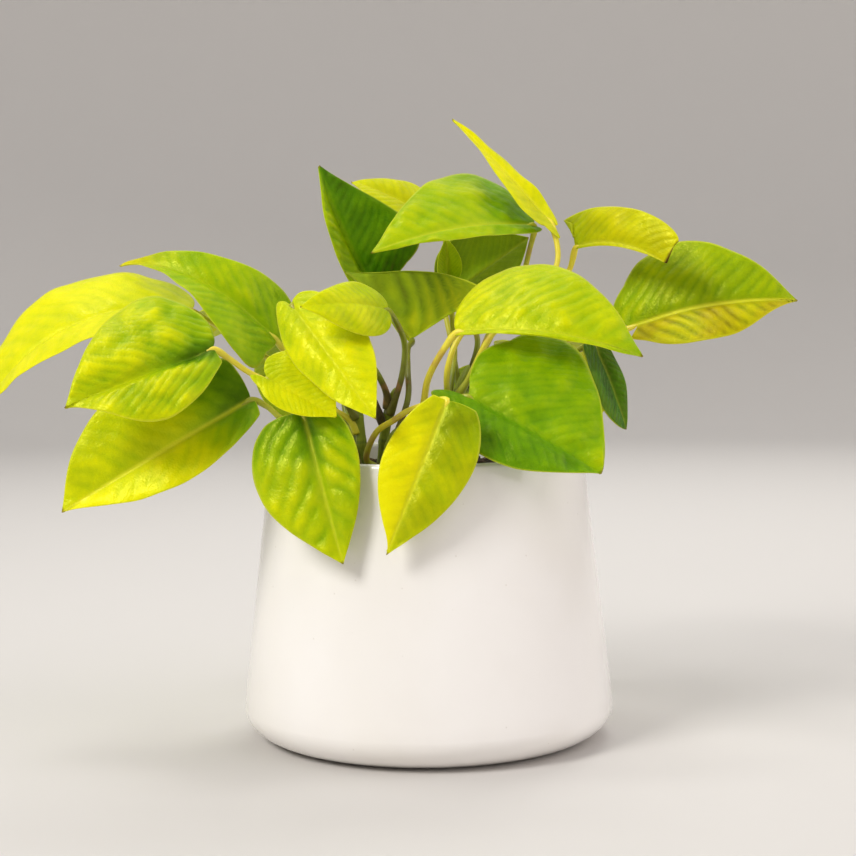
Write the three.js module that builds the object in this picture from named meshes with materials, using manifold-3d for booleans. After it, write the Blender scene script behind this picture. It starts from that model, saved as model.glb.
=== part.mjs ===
// A neon pothos in a white glazed pot: the pot, its potting mix, six rooted vine
// stems, and every leaf with the petiole that carries it. Millimetres, +Z up, the
// origin at the centre of the pot's underside, -Y towards the front of the plant.
import * as THREE from "three";
import { mergeVertices } from "three/addons/utils/BufferGeometryUtils.js";
import Module from "manifold-3d";

const wasm = await Module();
wasm.setup();

// The pot, a tapered cylinder that is narrower at the rim
const POT_HEIGHT = 115;
const POT_RIM_RADIUS = 63.5;
const POT_WIDEST_RADIUS = 75;
const POT_WIDEST_HEIGHT = 13;
const POT_FOOT_RADIUS = 57;
const POT_WALL = 4;
const POT_FLOOR = 6;
const POT_SEGMENTS = 56;

// The potting mix fills the pot to a little below the rim
const MIX_HEIGHT = 107;
const MIX_CROWN = 1.2;
const GAP = 0.3;

// Stems and leaf stalks are round, leaves are thin shells
const VINE_RADIUS = 2.2;
const VINE_SIDES = 8;
const VINE_STEPS = 8;
const PETIOLE_RADIUS = 1.3;
const PETIOLE_SIDES = 6;
const PETIOLE_STEPS = 9;
const NODE_LENGTH = 5;
const LEAF_THICKNESS = 0.8;
const LEAF_ROWS = 12;
const LEAF_COLUMNS = 3;
const MIDRIB_STEPS = 40;

// The outline of half a blade: how far along the midrib, and how much of the
// half width, from the notch at the stalk round the lobe to the drawn-out tip
const HALF_OUTLINE = [
  [0, 0],
  [-0.03, 0.12],
  [-0.04, 0.36],
  [0.015, 0.66],
  [0.14, 0.9],
  [0.33, 1],
  [0.53, 0.89],
  [0.71, 0.64],
  [0.86, 0.32],
  [0.955, 0.1],
  [1, 0],
];
const outline = new THREE.CatmullRomCurve3(
  HALF_OUTLINE.map(([x, y]) => new THREE.Vector3(x, y, 0)),
  false,
  "catmullrom",
);

const degrees = THREE.MathUtils.degToRad;
const vector = ([x, y, z]) => new THREE.Vector3(x, y, z);

// Six cuttings stand in the mix, each a short vine from its buried foot to its top
const VINES = {
  vine_front_left: [[-25, -25, 88], [-25, -26, 108], [-26, -28, 128], [-29, -31, 142]],
  vine_centre: [[-19, -16, 88], [-18, -17, 108], [-16, -19, 126], [-12, -21, 142]],
  vine_front_right: [[-16, -33, 88], [-17, -34, 108], [-14, -33, 120], [-11, -32, 127]],
  vine_right: [[6, 5, 88], [6, 6, 108], [10, 8, 130], [18, 9, 150]],
  vine_back_left: [[-31, 8, 88], [-31, 8, 108], [-31, 11, 132], [-32, 14, 150]],
  vine_back: [[14, 27, 88], [14, 28, 108], [16, 31, 132], [20, 33, 150]],
};

// Each leaf, its width and which way its upper face looks. The blade bends down by
// droop along its length and sideways by sweep, and each half folds up from the
// midrib. left and right are the halves seen from above with the tip ahead: their
// share of the width, how far the widest place moves to the tip, how far the lobe
// reaches back, and below 1, how blunt the half is. The stalk leaves its vine at the
// height of the node and passes the points.
const LEAVES = [
  {
    name: "far_left",
    base: [-94, -8, 174],
    tip: [-173, -24, 136],
    faces: [-0.4, -0.6, 0.75],
    width: 46,
    droop: 85,
    fold: 8,
    cup: 0.1,
    left: { width: 0.85 },
    right: { width: 1.3, belly: 0.3 },
    vine: "vine_back_left",
    node: 124,
    stalk: [[-46, 11, 142], [-68, 6, 156], [-84, 0, 167]],
  },
  {
    name: "left",
    base: [-80, -48, 159],
    tip: [-133, -68, 138],
    faces: [-0.1, -0.85, 0.5],
    width: 50,
    droop: 25,
    fold: 10,
    cup: 0.25,
    left: { width: 0.9, belly: 0.6, lobe: 0, blunt: 2.2 },
    right: { width: 1.35, belly: -0.2, lobe: 1.2 },
    vine: "vine_front_left",
    node: 127,
    stalk: [[-44, -34, 138], [-67, -40, 149], [-75, -44, 155]],
  },
  {
    name: "low_left",
    base: [-67, -40, 139],
    tip: [-139, -48, 97],
    faces: [0.1, -0.85, 0.4],
    width: 48,
    droop: 10,
    fold: 14,
    cup: 0.1,
    left: { width: 0.7, belly: 0.4, lobe: 0.3, blunt: 1.6 },
    right: { width: 1.25, belly: 0.4, lobe: 0.3 },
    vine: "vine_front_left",
    node: 115,
    stalk: [[-42, -34, 126], [-55, -39, 131], [-61, -38, 136]],
  },
  {
    name: "upper_left",
    base: [-60, -5, 162],
    tip: [-125, 8, 192],
    faces: [-0.1, -0.6, 0.75],
    width: 48,
    droop: 80,
    bend: 1.3,
    fold: 14,
    cup: 0.1,
    left: { width: 1.0, belly: -1.2, lobe: 0.4, blunt: 1.5 },
    right: { width: 0.8, belly: -0.8, lobe: 3 },
    vine: "vine_back_left",
    node: 136,
    stalk: [[-39, 9, 148], [-53, 0, 152]],
  },
  {
    name: "centre_left",
    base: [-50, -54, 175],
    tip: [-18, -80, 133],
    faces: [-0.3, -0.8, 0.5],
    width: 36,
    droop: 30,
    fold: 10,
    cup: 0.5,
    left: { width: 0.95, belly: 0.2 },
    right: { width: 0.68, belly: 0.2, lobe: 2 },
    vine: "vine_centre",
    node: 136,
    stalk: [[-20, -29, 150], [-32, -42, 166]],
  },
  {
    name: "under_centre",
    base: [-59, -60, 148],
    tip: [-33, -64, 133],
    faces: [-0.2, -0.8, 0.5],
    width: 30,
    droop: 10,
    fold: 10,
    cup: 0.2,
    left: { width: 1.35, lobe: 3 },
    right: { width: 0.55, lobe: 4.5 },
    vine: "vine_front_left",
    node: 133,
    stalk: [[-38, -40, 144], [-50, -51, 147]],
  },
  {
    name: "small_centre",
    base: [-14, -56, 173],
    tip: [-45, -78, 174],
    faces: [0, -0.9, 0.4],
    width: 26,
    droop: 50,
    fold: 5,
    cup: 0.3,
    left: { width: 0.95 },
    right: { width: 0.8 },
    vine: "vine_centre",
    node: 134,
    stalk: [[-9, -26, 148], [-8, -30, 159], [-11, -40, 168]],
  },
  {
    name: "over_rim_left",
    base: [-46, -56, 134],
    tip: [-31, -70, 79],
    faces: [-0.2, -0.9, 0.3],
    width: 42,
    droop: 20,
    fold: 8,
    cup: 0.2,
    left: { width: 0.8, lobe: 0.6 },
    right: { width: 1.2, lobe: 0.6 },
    vine: "vine_front_left",
    node: 110,
    stalk: [[-31, -38, 124], [-39, -48, 133]],
  },
  {
    name: "over_rim_right",
    base: [8, -66, 139],
    tip: [-15, -75, 83],
    faces: [0.1, -0.9, 0.35],
    width: 38,
    droop: 20,
    fold: 12,
    cup: 0.2,
    left: { lobe: 0.2 },
    right: { width: 0.8, belly: 0.5, lobe: 0, blunt: 2 },
    vine: "vine_front_right",
    node: 108,
    stalk: [[-23, -39, 115], [-19, -45, 126], [-12, -50, 131], [-6, -56, 135]],
  },
  {
    name: "low_right",
    base: [16, -48, 140],
    tip: [65, -64, 111],
    faces: [0.1, -0.82, 0.56],
    width: 54,
    droop: 15,
    fold: 10,
    cup: 0.2,
    left: { width: 1.65, belly: -0.35, lobe: 2.5, blunt: 0.75 },
    right: { width: 0.75, lobe: 5 },
    vine: "vine_front_right",
    node: 112,
    stalk: [[-2, -39, 127], [7, -42, 136]],
  },
  {
    name: "right",
    base: [12, -33, 164],
    tip: [82, -52, 154],
    faces: [0.1, -0.8, 0.55],
    width: 46,
    droop: 55,
    fold: 5,
    cup: 0.2,
    left: { width: 1.55 },
    right: { width: 0.12, belly: 0.8 },
    vine: "vine_front_right",
    node: 120,
    stalk: [[-2, -29, 133], [1, -29, 146], [7, -31, 157]],
  },
  {
    name: "behind_right",
    base: [70, 10, 158],
    tip: [82, 4, 123],
    faces: [0.5, -0.5, 0.2],
    width: 30,
    droop: 20,
    fold: 14,
    cup: 0.1,
    left: { width: 0.5 },
    right: { belly: 0.5, blunt: 0.7 },
    vine: "vine_right",
    node: 116,
    stalk: [[30, 6, 134], [54, 8, 151]],
  },
  {
    name: "far_right",
    base: [85, 15, 165],
    tip: [151, 0, 175],
    faces: [0.1, -0.75, 0.5],
    width: 46,
    droop: 50,
    fold: 14,
    cup: 0.1,
    left: { width: 1.35, lobe: 2.4 },
    right: { width: 0.85, belly: 0.6, lobe: -1, blunt: 2.2 },
    vine: "vine_right",
    node: 124,
    stalk: [[28, 16, 148], [50, 20, 158], [71, 20, 161]],
  },
  {
    name: "upper_right",
    base: [62, 14, 198],
    tip: [95, -16, 190],
    faces: [-0.5, -0.8, 0.1],
    width: 44,
    droop: 20,
    sweep: 45,
    fold: 5,
    cup: 0.2,
    left: { width: 0.68, lobe: 3, blunt: 0.1 },
    right: { width: 0.08 },
    vine: "vine_right",
    node: 130,
    stalk: [[9, 2, 149], [16, 4, 164], [40, 13, 178], [59, 19, 187]],
  },
  {
    name: "upright",
    base: [52, 6, 208],
    tip: [12, 16, 251],
    faces: [0.4, -0.5, 0.4],
    width: 34,
    droop: 14,
    fold: 14,
    cup: 0.1,
    left: { width: 0.66, belly: -0.7, lobe: 3 },
    right: { width: 0.3 },
    vine: "vine_right",
    node: 140,
    stalk: [[27, 3, 162], [46, 2, 178], [54, 3, 192]],
  },
  {
    name: "crown",
    base: [45, 8, 207],
    tip: [-21, -24, 195],
    faces: [-0.1, -0.8, 0.6],
    width: 46,
    droop: 40,
    fold: 5,
    cup: 0.2,
    left: { width: 0.3 },
    right: { width: 1.5, belly: -0.35 },
    vine: "vine_right",
    node: 143,
    stalk: [[28, 14, 163], [39, 15, 182], [43, 13, 196]],
  },
  {
    name: "dark_upper",
    base: [-22, 27, 184],
    tip: [-43, 21, 233],
    faces: [0.3, -0.9, 0.3],
    width: 44,
    droop: 15,
    sweep: 20,
    fold: 24,
    cup: 0.1,
    left: { width: 0.5, belly: -0.5 },
    right: { width: 1.3, belly: -0.6 },
    vine: "vine_back_left",
    node: 142,
    stalk: [[-27, 20, 158], [-23, 24, 172]],
  },
  {
    name: "behind_crown",
    base: [9, 40, 207],
    tip: [-31, 44, 228],
    faces: [0, -0.6, 0.8],
    width: 30,
    droop: 40,
    fold: 8,
    cup: 0.2,
    left: {},
    right: {},
    vine: "vine_back",
    node: 136,
    stalk: [[12, 34, 154], [8, 42, 178], [9, 43, 196]],
  },
  {
    name: "inner",
    base: [-5, 8, 161],
    tip: [-33, 14, 189],
    faces: [0.2, 0.7, 0.5],
    width: 44,
    droop: 10,
    sweep: 30,
    fold: 12,
    cup: 0.1,
    left: { width: 1.85, belly: -1.4, lobe: 0, blunt: 1.4 },
    right: { width: 0.2 },
    vine: "vine_front_right",
    node: 118,
    stalk: [[-7, -25, 138], [-7, -20, 149], [-7, -5, 157]],
  },
  {
    name: "new",
    base: [10, 14, 185],
    tip: [9, 10, 202],
    faces: [0.2, -0.9, 0.3],
    width: 12,
    droop: 10,
    fold: 30,
    cup: 0.1,
    left: {},
    right: {},
    vine: "vine_right",
    node: 134,
    stalk: [[12, 14, 154], [11, 15, 172]],
  },
  {
    name: "inner_back",
    base: [11, 38, 180],
    tip: [44, 32, 203],
    faces: [0.2, 0.6, 0.7],
    width: 40,
    droop: 20,
    fold: 10,
    cup: 0.1,
    left: {},
    right: {},
    vine: "vine_back",
    node: 142,
    stalk: [[22, 30, 160], [16, 34, 173]],
  },
  {
    name: "back_left",
    base: [-52, 34, 172],
    tip: [-104, 82, 156],
    faces: [-0.3, 0.3, 0.9],
    width: 52,
    droop: 60,
    fold: 10,
    cup: 0.15,
    left: {},
    right: {},
    vine: "vine_back_left",
    node: 129,
    stalk: [[-37, 20, 150], [-44, 27, 164]],
  },
  {
    name: "back_centre",
    base: [-43, 50, 160],
    tip: [-62, 96, 114],
    faces: [-0.2, 0.6, 0.7],
    width: 52,
    droop: 50,
    fold: 10,
    cup: 0.15,
    left: {},
    right: {},
    vine: "vine_back_left",
    node: 115,
    stalk: [[-29, 21, 137], [-37, 37, 154]],
  },
  {
    name: "back_right",
    base: [44, 50, 158],
    tip: [80, 98, 122],
    faces: [0.3, 0.4, 0.8],
    width: 54,
    droop: 55,
    fold: 10,
    cup: 0.15,
    left: {},
    right: {},
    vine: "vine_back",
    node: 126,
    stalk: [[27, 37, 144], [37, 44, 155]],
  },
  {
    name: "back_low",
    base: [34, 68, 146],
    tip: [32, 106, 94],
    faces: [0.1, 0.8, 0.5],
    width: 52,
    droop: 45,
    fold: 10,
    cup: 0.15,
    left: {},
    right: {},
    vine: "vine_back",
    node: 116,
    stalk: [[19, 44, 134], [26, 58, 144]],
  },
  {
    name: "back_high",
    base: [42, 60, 186],
    tip: [62, 112, 166],
    faces: [0.2, 0.3, 0.9],
    width: 50,
    droop: 55,
    fold: 10,
    cup: 0.15,
    left: {},
    right: {},
    vine: "vine_back",
    node: 146,
    stalk: [[28, 44, 164], [35, 55, 178]],
  },
];

// A dried sheath, left on the vine in the centre by an older leaf, is a small blade
const SHEATH = {
  base: [-15, -20, 125],
  tip: [-21, -22, 140],
  faces: [-0.5, -0.8, 0],
  width: 5,
  droop: 20,
  fold: 20,
  cup: 0.1,
  left: {},
  right: {},
};

const finish = (colour, roughness) =>
  new THREE.MeshStandardMaterial({ color: colour, roughness, metalness: 0 });
const GLAZE = finish("#f4efea", 0.15);
const MIX = finish("#2b2119", 0.95);
const VINE = finish("#6f8a2a", 0.5);
const PETIOLE = finish("#c9c84a", 0.45);
const BLADE = finish("#b9dc1e", 0.35);

// A closed geometry with shared corners, as a solid that can be cut
function solid(geometry) {
  const bare = new THREE.BufferGeometry();
  bare.setAttribute("position", geometry.getAttribute("position"));
  bare.setIndex(geometry.index);
  const merged = mergeVertices(bare, 1e-3);
  const vertProperties = merged.getAttribute("position").array;
  const triVerts = new Uint32Array(merged.index.array);
  return new wasm.Manifold(new wasm.Mesh({ numProp: 3, vertProperties, triVerts }));
}

function geometryOf(body) {
  const mesh = body.getMesh();
  const geometry = new THREE.BufferGeometry();
  geometry.setAttribute("position", new THREE.BufferAttribute(mesh.vertProperties, 3));
  geometry.setIndex(new THREE.BufferAttribute(mesh.triVerts, 1));
  return geometry;
}

// LatheGeometry turns about Y, and the object stands along Z
function lathe(profile) {
  const points = profile.map(([radius, height]) => new THREE.Vector2(radius, height));
  return new THREE.LatheGeometry(points, POT_SEGMENTS).rotateX(Math.PI / 2);
}

const potOuterRadius = (height) =>
  THREE.MathUtils.mapLinear(
    height,
    POT_WIDEST_HEIGHT,
    POT_HEIGHT,
    POT_WIDEST_RADIUS,
    POT_RIM_RADIUS,
  );

// The lower edge is a quarter of an ellipse between the foot and the widest place
function roundedFoot(inset, floor) {
  const steps = 6;
  const points = [];
  for (let i = 0; i <= steps; i++) {
    const angle = (Math.PI / 2) * (i / steps);
    const out = (POT_WIDEST_RADIUS - POT_FOOT_RADIUS) * Math.sin(angle);
    const up = (POT_WIDEST_HEIGHT - floor) * (1 - Math.cos(angle));
    points.push([POT_FOOT_RADIUS - inset + out, floor + up]);
  }
  return points;
}

function potGeometry() {
  const lip = 1;
  const underLip = potOuterRadius(POT_HEIGHT - lip);
  return lathe([
    [0, 0],
    ...roundedFoot(0, 0),
    [underLip, POT_HEIGHT - lip],
    [underLip - lip, POT_HEIGHT],
    [underLip - POT_WALL + lip, POT_HEIGHT],
    [underLip - POT_WALL, POT_HEIGHT - lip],
    ...roundedFoot(POT_WALL, POT_FLOOR).reverse(),
    [0, POT_FLOOR],
  ]);
}

function mixGeometry(vines) {
  const inset = POT_WALL + GAP;
  const floor = POT_FLOOR + GAP;
  const edge = potOuterRadius(MIX_HEIGHT) - inset;
  let mix = solid(
    lathe([
      [0, floor],
      ...roundedFoot(inset, floor),
      [edge, MIX_HEIGHT],
      [edge * 0.6, MIX_HEIGHT + MIX_CROWN],
      [0, MIX_HEIGHT + MIX_CROWN],
    ]),
  );
  for (const points of vines) {
    mix = mix.subtract(solid(tube(points, VINE_RADIUS + GAP, VINE_SIDES, VINE_STEPS, GAP)));
  }
  return geometryOf(mix);
}

const stemPath = (points) =>
  new THREE.CatmullRomCurve3(points.map(vector), false, "centripetal");

// A round stem through the points; overrun lengthens its foot, as for its socket
function tube(points, radius, sides, steps, overrun = 0) {
  const path = stemPath(points);
  if (overrun > 0) {
    const foot = path.getPointAt(0).addScaledVector(path.getTangentAt(0), -overrun);
    path.points[0].copy(foot);
  }
  const section = new THREE.Shape();
  for (let i = 0; i <= sides; i++) {
    const angle = (2 * Math.PI * i) / sides;
    const x = radius * Math.cos(angle);
    const y = radius * Math.sin(angle);
    if (i === 0) section.moveTo(x, y);
    else section.lineTo(x, y);
  }
  return new THREE.ExtrudeGeometry(section, { steps, extrudePath: path, bevelEnabled: false });
}

// The leaf's own axes: along the chord from base to tip, to its left, and up
function leafAxes(leaf) {
  const base = vector(leaf.base);
  const chord = vector(leaf.tip).sub(base);
  const length = chord.length();
  const along = chord.clone().normalize();
  const up = vector(leaf.faces).projectOnPlane(along).normalize();
  const left = up.clone().cross(along);
  return { base, length, along, left, up };
}

// The midrib as a bent line from base to tip, and its direction at each step
function midrib(leaf, axes) {
  const droop = degrees(leaf.droop);
  const sweep = degrees(leaf.sweep ?? 0);
  const bend = leaf.bend ?? 1;
  const line = [new THREE.Vector3()];
  for (let i = 0; i < MIDRIB_STEPS; i++) {
    const share = (i + 0.5) / MIDRIB_STEPS;
    const pitch = droop * (0.5 - share ** bend);
    const yaw = sweep * (0.5 - share);
    const step = new THREE.Vector3(
      Math.cos(pitch) * Math.cos(yaw),
      Math.cos(pitch) * Math.sin(yaw),
      Math.sin(pitch),
    );
    line.push(line.at(-1).clone().add(step));
  }
  const reach = line.at(-1).clone();
  const turn = new THREE.Quaternion().setFromUnitVectors(
    reach.clone().normalize(),
    new THREE.Vector3(1, 0, 0),
  );
  const stretch = axes.length / reach.length();
  line.forEach((point) => point.applyQuaternion(turn).multiplyScalar(stretch));
  const directions = line.map((_, i) => {
    const before = line[Math.max(i - 1, 0)];
    const after = line[Math.min(i + 1, MIDRIB_STEPS)];
    return after.clone().sub(before).normalize();
  });
  return { line, directions, arc: stretch * MIDRIB_STEPS };
}

function alongMidrib(list, share) {
  const place = THREE.MathUtils.clamp(share, 0, 1) * MIDRIB_STEPS;
  const i = Math.min(Math.floor(place), MIDRIB_STEPS - 1);
  return list[i].clone().lerp(list[i + 1], place - i);
}

// One point of the blade: side runs from -1 at the right margin to 1 at the left
function bladePoint(leaf, rib, row, side) {
  const half = side > 0 ? leaf.left : leaf.right;
  const across = Math.abs(side);
  const margin = outline.getPoint(row / LEAF_ROWS);
  const rootShare = (row / LEAF_ROWS) ** 1.25;
  const belly = half.belly ?? 0;
  const marginShare =
    margin.x < 0 ? margin.x * (half.lobe ?? 1) : margin.x + belly * margin.x * (1 - margin.x);
  const share = THREE.MathUtils.lerp(rootShare, marginShare, across);
  const spread = across * Math.max(margin.y, 0) ** (half.blunt ?? 1);
  const halfWidth = (leaf.width / 2) * (half.width ?? 1);
  const direction = alongMidrib(rib.directions, share).normalize();
  const left = new THREE.Vector3(0, 0, 1).cross(direction).normalize();
  const up = direction.clone().cross(left);
  const fold = degrees(leaf.fold);
  const point = alongMidrib(rib.line, share)
    .addScaledVector(direction, Math.min(share, 0) * rib.arc)
    .addScaledVector(left, Math.sign(side) * spread * halfWidth * Math.cos(fold))
    .addScaledVector(up, halfWidth * (spread * Math.sin(fold) - leaf.cup * spread ** 2));
  return { point, up };
}

// A leaf's midrib in its own axes, and the matrix that puts the leaf in the object
function leafFrame(leaf) {
  const axes = leafAxes(leaf);
  const rib = midrib(leaf, axes);
  const toObject = new THREE.Matrix4().makeBasis(axes.along, axes.left, axes.up);
  return { rib, toObject: toObject.setPosition(axes.base) };
}

// A blade is an upper and a lower skin, joined round the margin
function leafGeometry(leaf) {
  const { rib, toObject } = leafFrame(leaf);
  const positions = [];
  const rows = [];
  const place = (point) => {
    positions.push(...point.clone().applyMatrix4(toObject).toArray());
    return positions.length / 3 - 1;
  };
  for (let row = 0; row <= LEAF_ROWS; row++) {
    const isEnd = row === 0 || row === LEAF_ROWS;
    const upper = [];
    const lower = [];
    for (let column = -LEAF_COLUMNS; column <= LEAF_COLUMNS; column++) {
      if (isEnd && column > -LEAF_COLUMNS) {
        upper.push(upper[0]);
        lower.push(lower[0]);
        continue;
      }
      const side = isEnd ? 0 : column / LEAF_COLUMNS;
      const { point, up } = bladePoint(leaf, rib, row, side);
      upper.push(place(point));
      lower.push(place(point.clone().addScaledVector(up, -LEAF_THICKNESS)));
    }
    rows.push({ upper, lower });
  }
  const faces = [];
  const quad = (a, b, c, d) => {
    if (a !== b && b !== c) faces.push(a, b, c);
    if (c !== d && d !== a) faces.push(a, c, d);
  };
  for (let row = 0; row < LEAF_ROWS; row++) {
    const [near, far] = [rows[row], rows[row + 1]];
    const last = 2 * LEAF_COLUMNS;
    for (let i = 0; i < last; i++) {
      quad(near.upper[i], far.upper[i], far.upper[i + 1], near.upper[i + 1]);
      quad(near.lower[i + 1], far.lower[i + 1], far.lower[i], near.lower[i]);
    }
    quad(near.lower[0], far.lower[0], far.upper[0], near.upper[0]);
    quad(near.upper[last], far.upper[last], far.lower[last], near.lower[last]);
  }
  const geometry = new THREE.BufferGeometry();
  geometry.setAttribute("position", new THREE.Float32BufferAttribute(positions, 3));
  geometry.setIndex(faces);
  geometry.computeVertexNormals();
  return geometry;
}

function vineGeometry(name, points) {
  const stem = tube(points, VINE_RADIUS, VINE_SIDES, VINE_STEPS);
  if (name !== "vine_centre") return stem;
  return geometryOf(solid(stem).add(solid(leafGeometry(SHEATH))));
}

// Where a vine reaches a height, and the way it grows there
function vineAt(name, height) {
  const vine = stemPath(VINES[name]);
  let share = 0;
  while (vine.getPointAt(share).z < height && share < 1) share = Math.min(share + 0.005, 1);
  return { point: vine.getPointAt(share), direction: vine.getTangentAt(share) };
}

// A stalk runs up beside its vine from the node, bends away, and ends just under the
// base of its blade
function petioleGeometry(leaf) {
  const { point, direction } = vineAt(leaf.vine, leaf.node);
  const beside = vector(leaf.stalk[0]).sub(point).projectOnPlane(direction);
  const foot = point.clone().add(beside.setLength(VINE_RADIUS + GAP + PETIOLE_RADIUS));
  const away = foot.clone().addScaledVector(direction, NODE_LENGTH);
  const { rib, toObject } = leafFrame(leaf);
  const { up } = bladePoint(leaf, rib, 0, 0);
  const under = up.multiplyScalar(-LEAF_THICKNESS - GAP - PETIOLE_RADIUS);
  const end = under.sub(rib.directions[0]).applyMatrix4(toObject);
  const points = [foot.toArray(), away.toArray(), ...leaf.stalk, end.toArray()];
  return tube(points, PETIOLE_RADIUS, PETIOLE_SIDES, PETIOLE_STEPS);
}

function named(name, geometry, material) {
  const mesh = new THREE.Mesh(geometry, material);
  mesh.name = name;
  return mesh;
}

const plant = new THREE.Group();
plant.add(named("pot", potGeometry(), GLAZE));
plant.add(named("potting_mix", mixGeometry(Object.values(VINES)), MIX));
for (const [name, points] of Object.entries(VINES)) {
  plant.add(named(name, vineGeometry(name, points), VINE));
}
for (const leaf of LEAVES) {
  plant.add(named(`petiole_${leaf.name}`, petioleGeometry(leaf), PETIOLE));
  plant.add(named(`leaf_${leaf.name}`, leafGeometry(leaf), BLADE));
}

export default plant;
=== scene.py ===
# %% [markdown]
# # A potted neon pothos
# This lesson gives a small house plant its looks: a smooth white glazed pot, dark potting
# mix, six short vines, and glossy yellow-green leaves on long stalks. The exact solids
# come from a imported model, which sets every size and place. Here each of them is replaced
# by a finer mesh of the same size, with veins, folds and a finish of its own.

import math

import bmesh
import bpy
import numpy as np
from mathutils import Matrix, Vector, noise


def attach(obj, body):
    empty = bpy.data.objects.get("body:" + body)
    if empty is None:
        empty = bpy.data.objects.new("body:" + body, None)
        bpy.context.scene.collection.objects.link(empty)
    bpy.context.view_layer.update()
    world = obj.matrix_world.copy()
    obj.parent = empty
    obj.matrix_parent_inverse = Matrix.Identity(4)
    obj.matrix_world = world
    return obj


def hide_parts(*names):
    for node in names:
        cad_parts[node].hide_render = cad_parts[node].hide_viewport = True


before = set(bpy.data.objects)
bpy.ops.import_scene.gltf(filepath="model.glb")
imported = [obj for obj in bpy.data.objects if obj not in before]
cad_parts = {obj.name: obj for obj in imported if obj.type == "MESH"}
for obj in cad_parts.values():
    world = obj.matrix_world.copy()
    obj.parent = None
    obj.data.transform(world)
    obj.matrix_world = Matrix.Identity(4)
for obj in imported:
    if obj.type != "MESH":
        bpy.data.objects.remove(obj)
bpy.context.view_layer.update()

# %% [markdown]
# ## Camera
# The camera stands in front of the pot, a little above its rim, and is slightly tipped
# down. Every place and length in this file is in millimetres, and is turned into metres
# where it is used.

# %% Camera
MM = 0.001
CAMERA_PLACE = (0.75, -720, 170)
CAMERA_DOWN = 3.6
CAMERA_ROLL = -0.6
CAMERA_LENS = 74.65
CAMERA_SENSOR = 36

camera = bpy.data.objects.new("camera", bpy.data.cameras.new("camera"))
bpy.context.scene.collection.objects.link(camera)
camera.data.lens = CAMERA_LENS
camera.data.sensor_width = CAMERA_SENSOR
camera.data.clip_start = 0.01
tipped = Matrix.Rotation(math.radians(90 - CAMERA_DOWN), 4, "X")
rolled = Matrix.Rotation(math.radians(CAMERA_ROLL), 4, "Z")
camera.matrix_world = Matrix.Translation(Vector(CAMERA_PLACE) * MM) @ tipped @ rolled
bpy.context.scene.camera = camera
print("camera", [round(x, 3) for x in camera.location], "lens", camera.data.lens)

# %% [markdown]
# ## Helpers for meshes
# A leaf is easier to describe by its midrib and margin than to push into shape, so every
# piece is worked out point by point. These helpers turn points and faces into an object,
# join parts in one mesh, and store numbers on the points for a material to read.

# %% Helpers for meshes
def make_object(name, points, faces, material):
    """A smooth mesh object from points in millimetres."""
    mesh = bpy.data.meshes.new(name)
    mesh.from_pydata((np.asarray(points) * MM).tolist(), [], faces)
    mesh.validate()
    mesh.update()
    mesh.polygons.foreach_set("use_smooth", [True] * len(mesh.polygons))
    mesh.materials.append(material)
    piece = bpy.data.objects.new(name, mesh)
    bpy.context.scene.collection.objects.link(piece)
    return piece


def join_parts(parts):
    """Points and faces of several parts as one list of each."""
    points, faces = [], []
    start = 0
    for part_points, part_faces in parts:
        points.append(np.asarray(part_points))
        faces += [[start + i for i in face] for face in part_faces]
        start += len(part_points)
    return np.vstack(points), faces


def paint(piece, name, values):
    """Store one number for each point of a piece, for its material to read."""
    attribute = piece.data.attributes.new(name, "FLOAT", "POINT")
    attribute.data.foreach_set("value", np.asarray(values, np.float32).ravel())


def round_profile(profile, steps):
    """Turn a list of (radius, height) once about Z; a radius of 0 becomes one point."""
    points, rings, faces = [], [], []
    for radius, height in profile:
        if radius == 0:
            rings.append([len(points)] * steps)
            points.append((0, 0, height))
            continue
        rings.append(list(range(len(points), len(points) + steps)))
        for k in range(steps):
            angle = 2 * math.pi * k / steps
            points.append((radius * math.cos(angle), radius * math.sin(angle), height))
    for low, high in zip(rings, rings[1:]):
        for k in range(steps):
            corners = [low[k], low[(k + 1) % steps], high[(k + 1) % steps], high[k]]
            faces.append(list(dict.fromkeys(corners)))
    return points, faces


def quarter_arc(start, end, steps):
    """A quarter of an ellipse in a profile: it leaves start level and ends upright."""
    return [
        (
            start[0] + (end[0] - start[0]) * math.sin(angle),
            start[1] + (end[1] - start[1]) * (1 - math.cos(angle)),
        )
        for angle in np.linspace(0, math.pi / 2, steps)
    ]


print("a cone of 8 sides has", len(round_profile([(0, 0), (5, 0), (0, 9)], 8)[1]), "faces")

# %% [markdown]
# ## Helpers for materials
# A material is a tree of nodes. Each of these helpers adds a node and feeds its inputs in
# the same line, so that the tree of a whole surface stays short enough to read.

# %% Helpers for materials
def feed(tree, socket, value):
    """Link a socket to another one, or set its own value."""
    if isinstance(value, bpy.types.NodeSocket):
        tree.links.new(value, socket)
    else:
        socket.default_value = value


def node(tree, kind, settings=None, **inputs):
    """Add a node, set its options, and feed its inputs by name."""
    made = tree.nodes.new(kind)
    for key, value in (settings or {}).items():
        setattr(made, key, value)
    for key, value in inputs.items():
        feed(tree, made.inputs[key.replace("_", " ")], value)
    return made


def calc(tree, operation, *values, clamp=False):
    """A Math node; returns its output."""
    made = node(tree, "ShaderNodeMath", {"operation": operation, "use_clamp": clamp})
    for socket, value in zip(made.inputs, values):
        feed(tree, socket, value)
    return made.outputs[0]


def mix_colour(tree, share, first, second):
    """A colour between first and second; share 1 gives second."""
    made = node(tree, "ShaderNodeMix", {"data_type": "RGBA"})
    feed(tree, made.inputs[0], share)
    feed(tree, made.inputs[6], first)
    feed(tree, made.inputs[7], second)
    return made.outputs[2]


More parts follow.
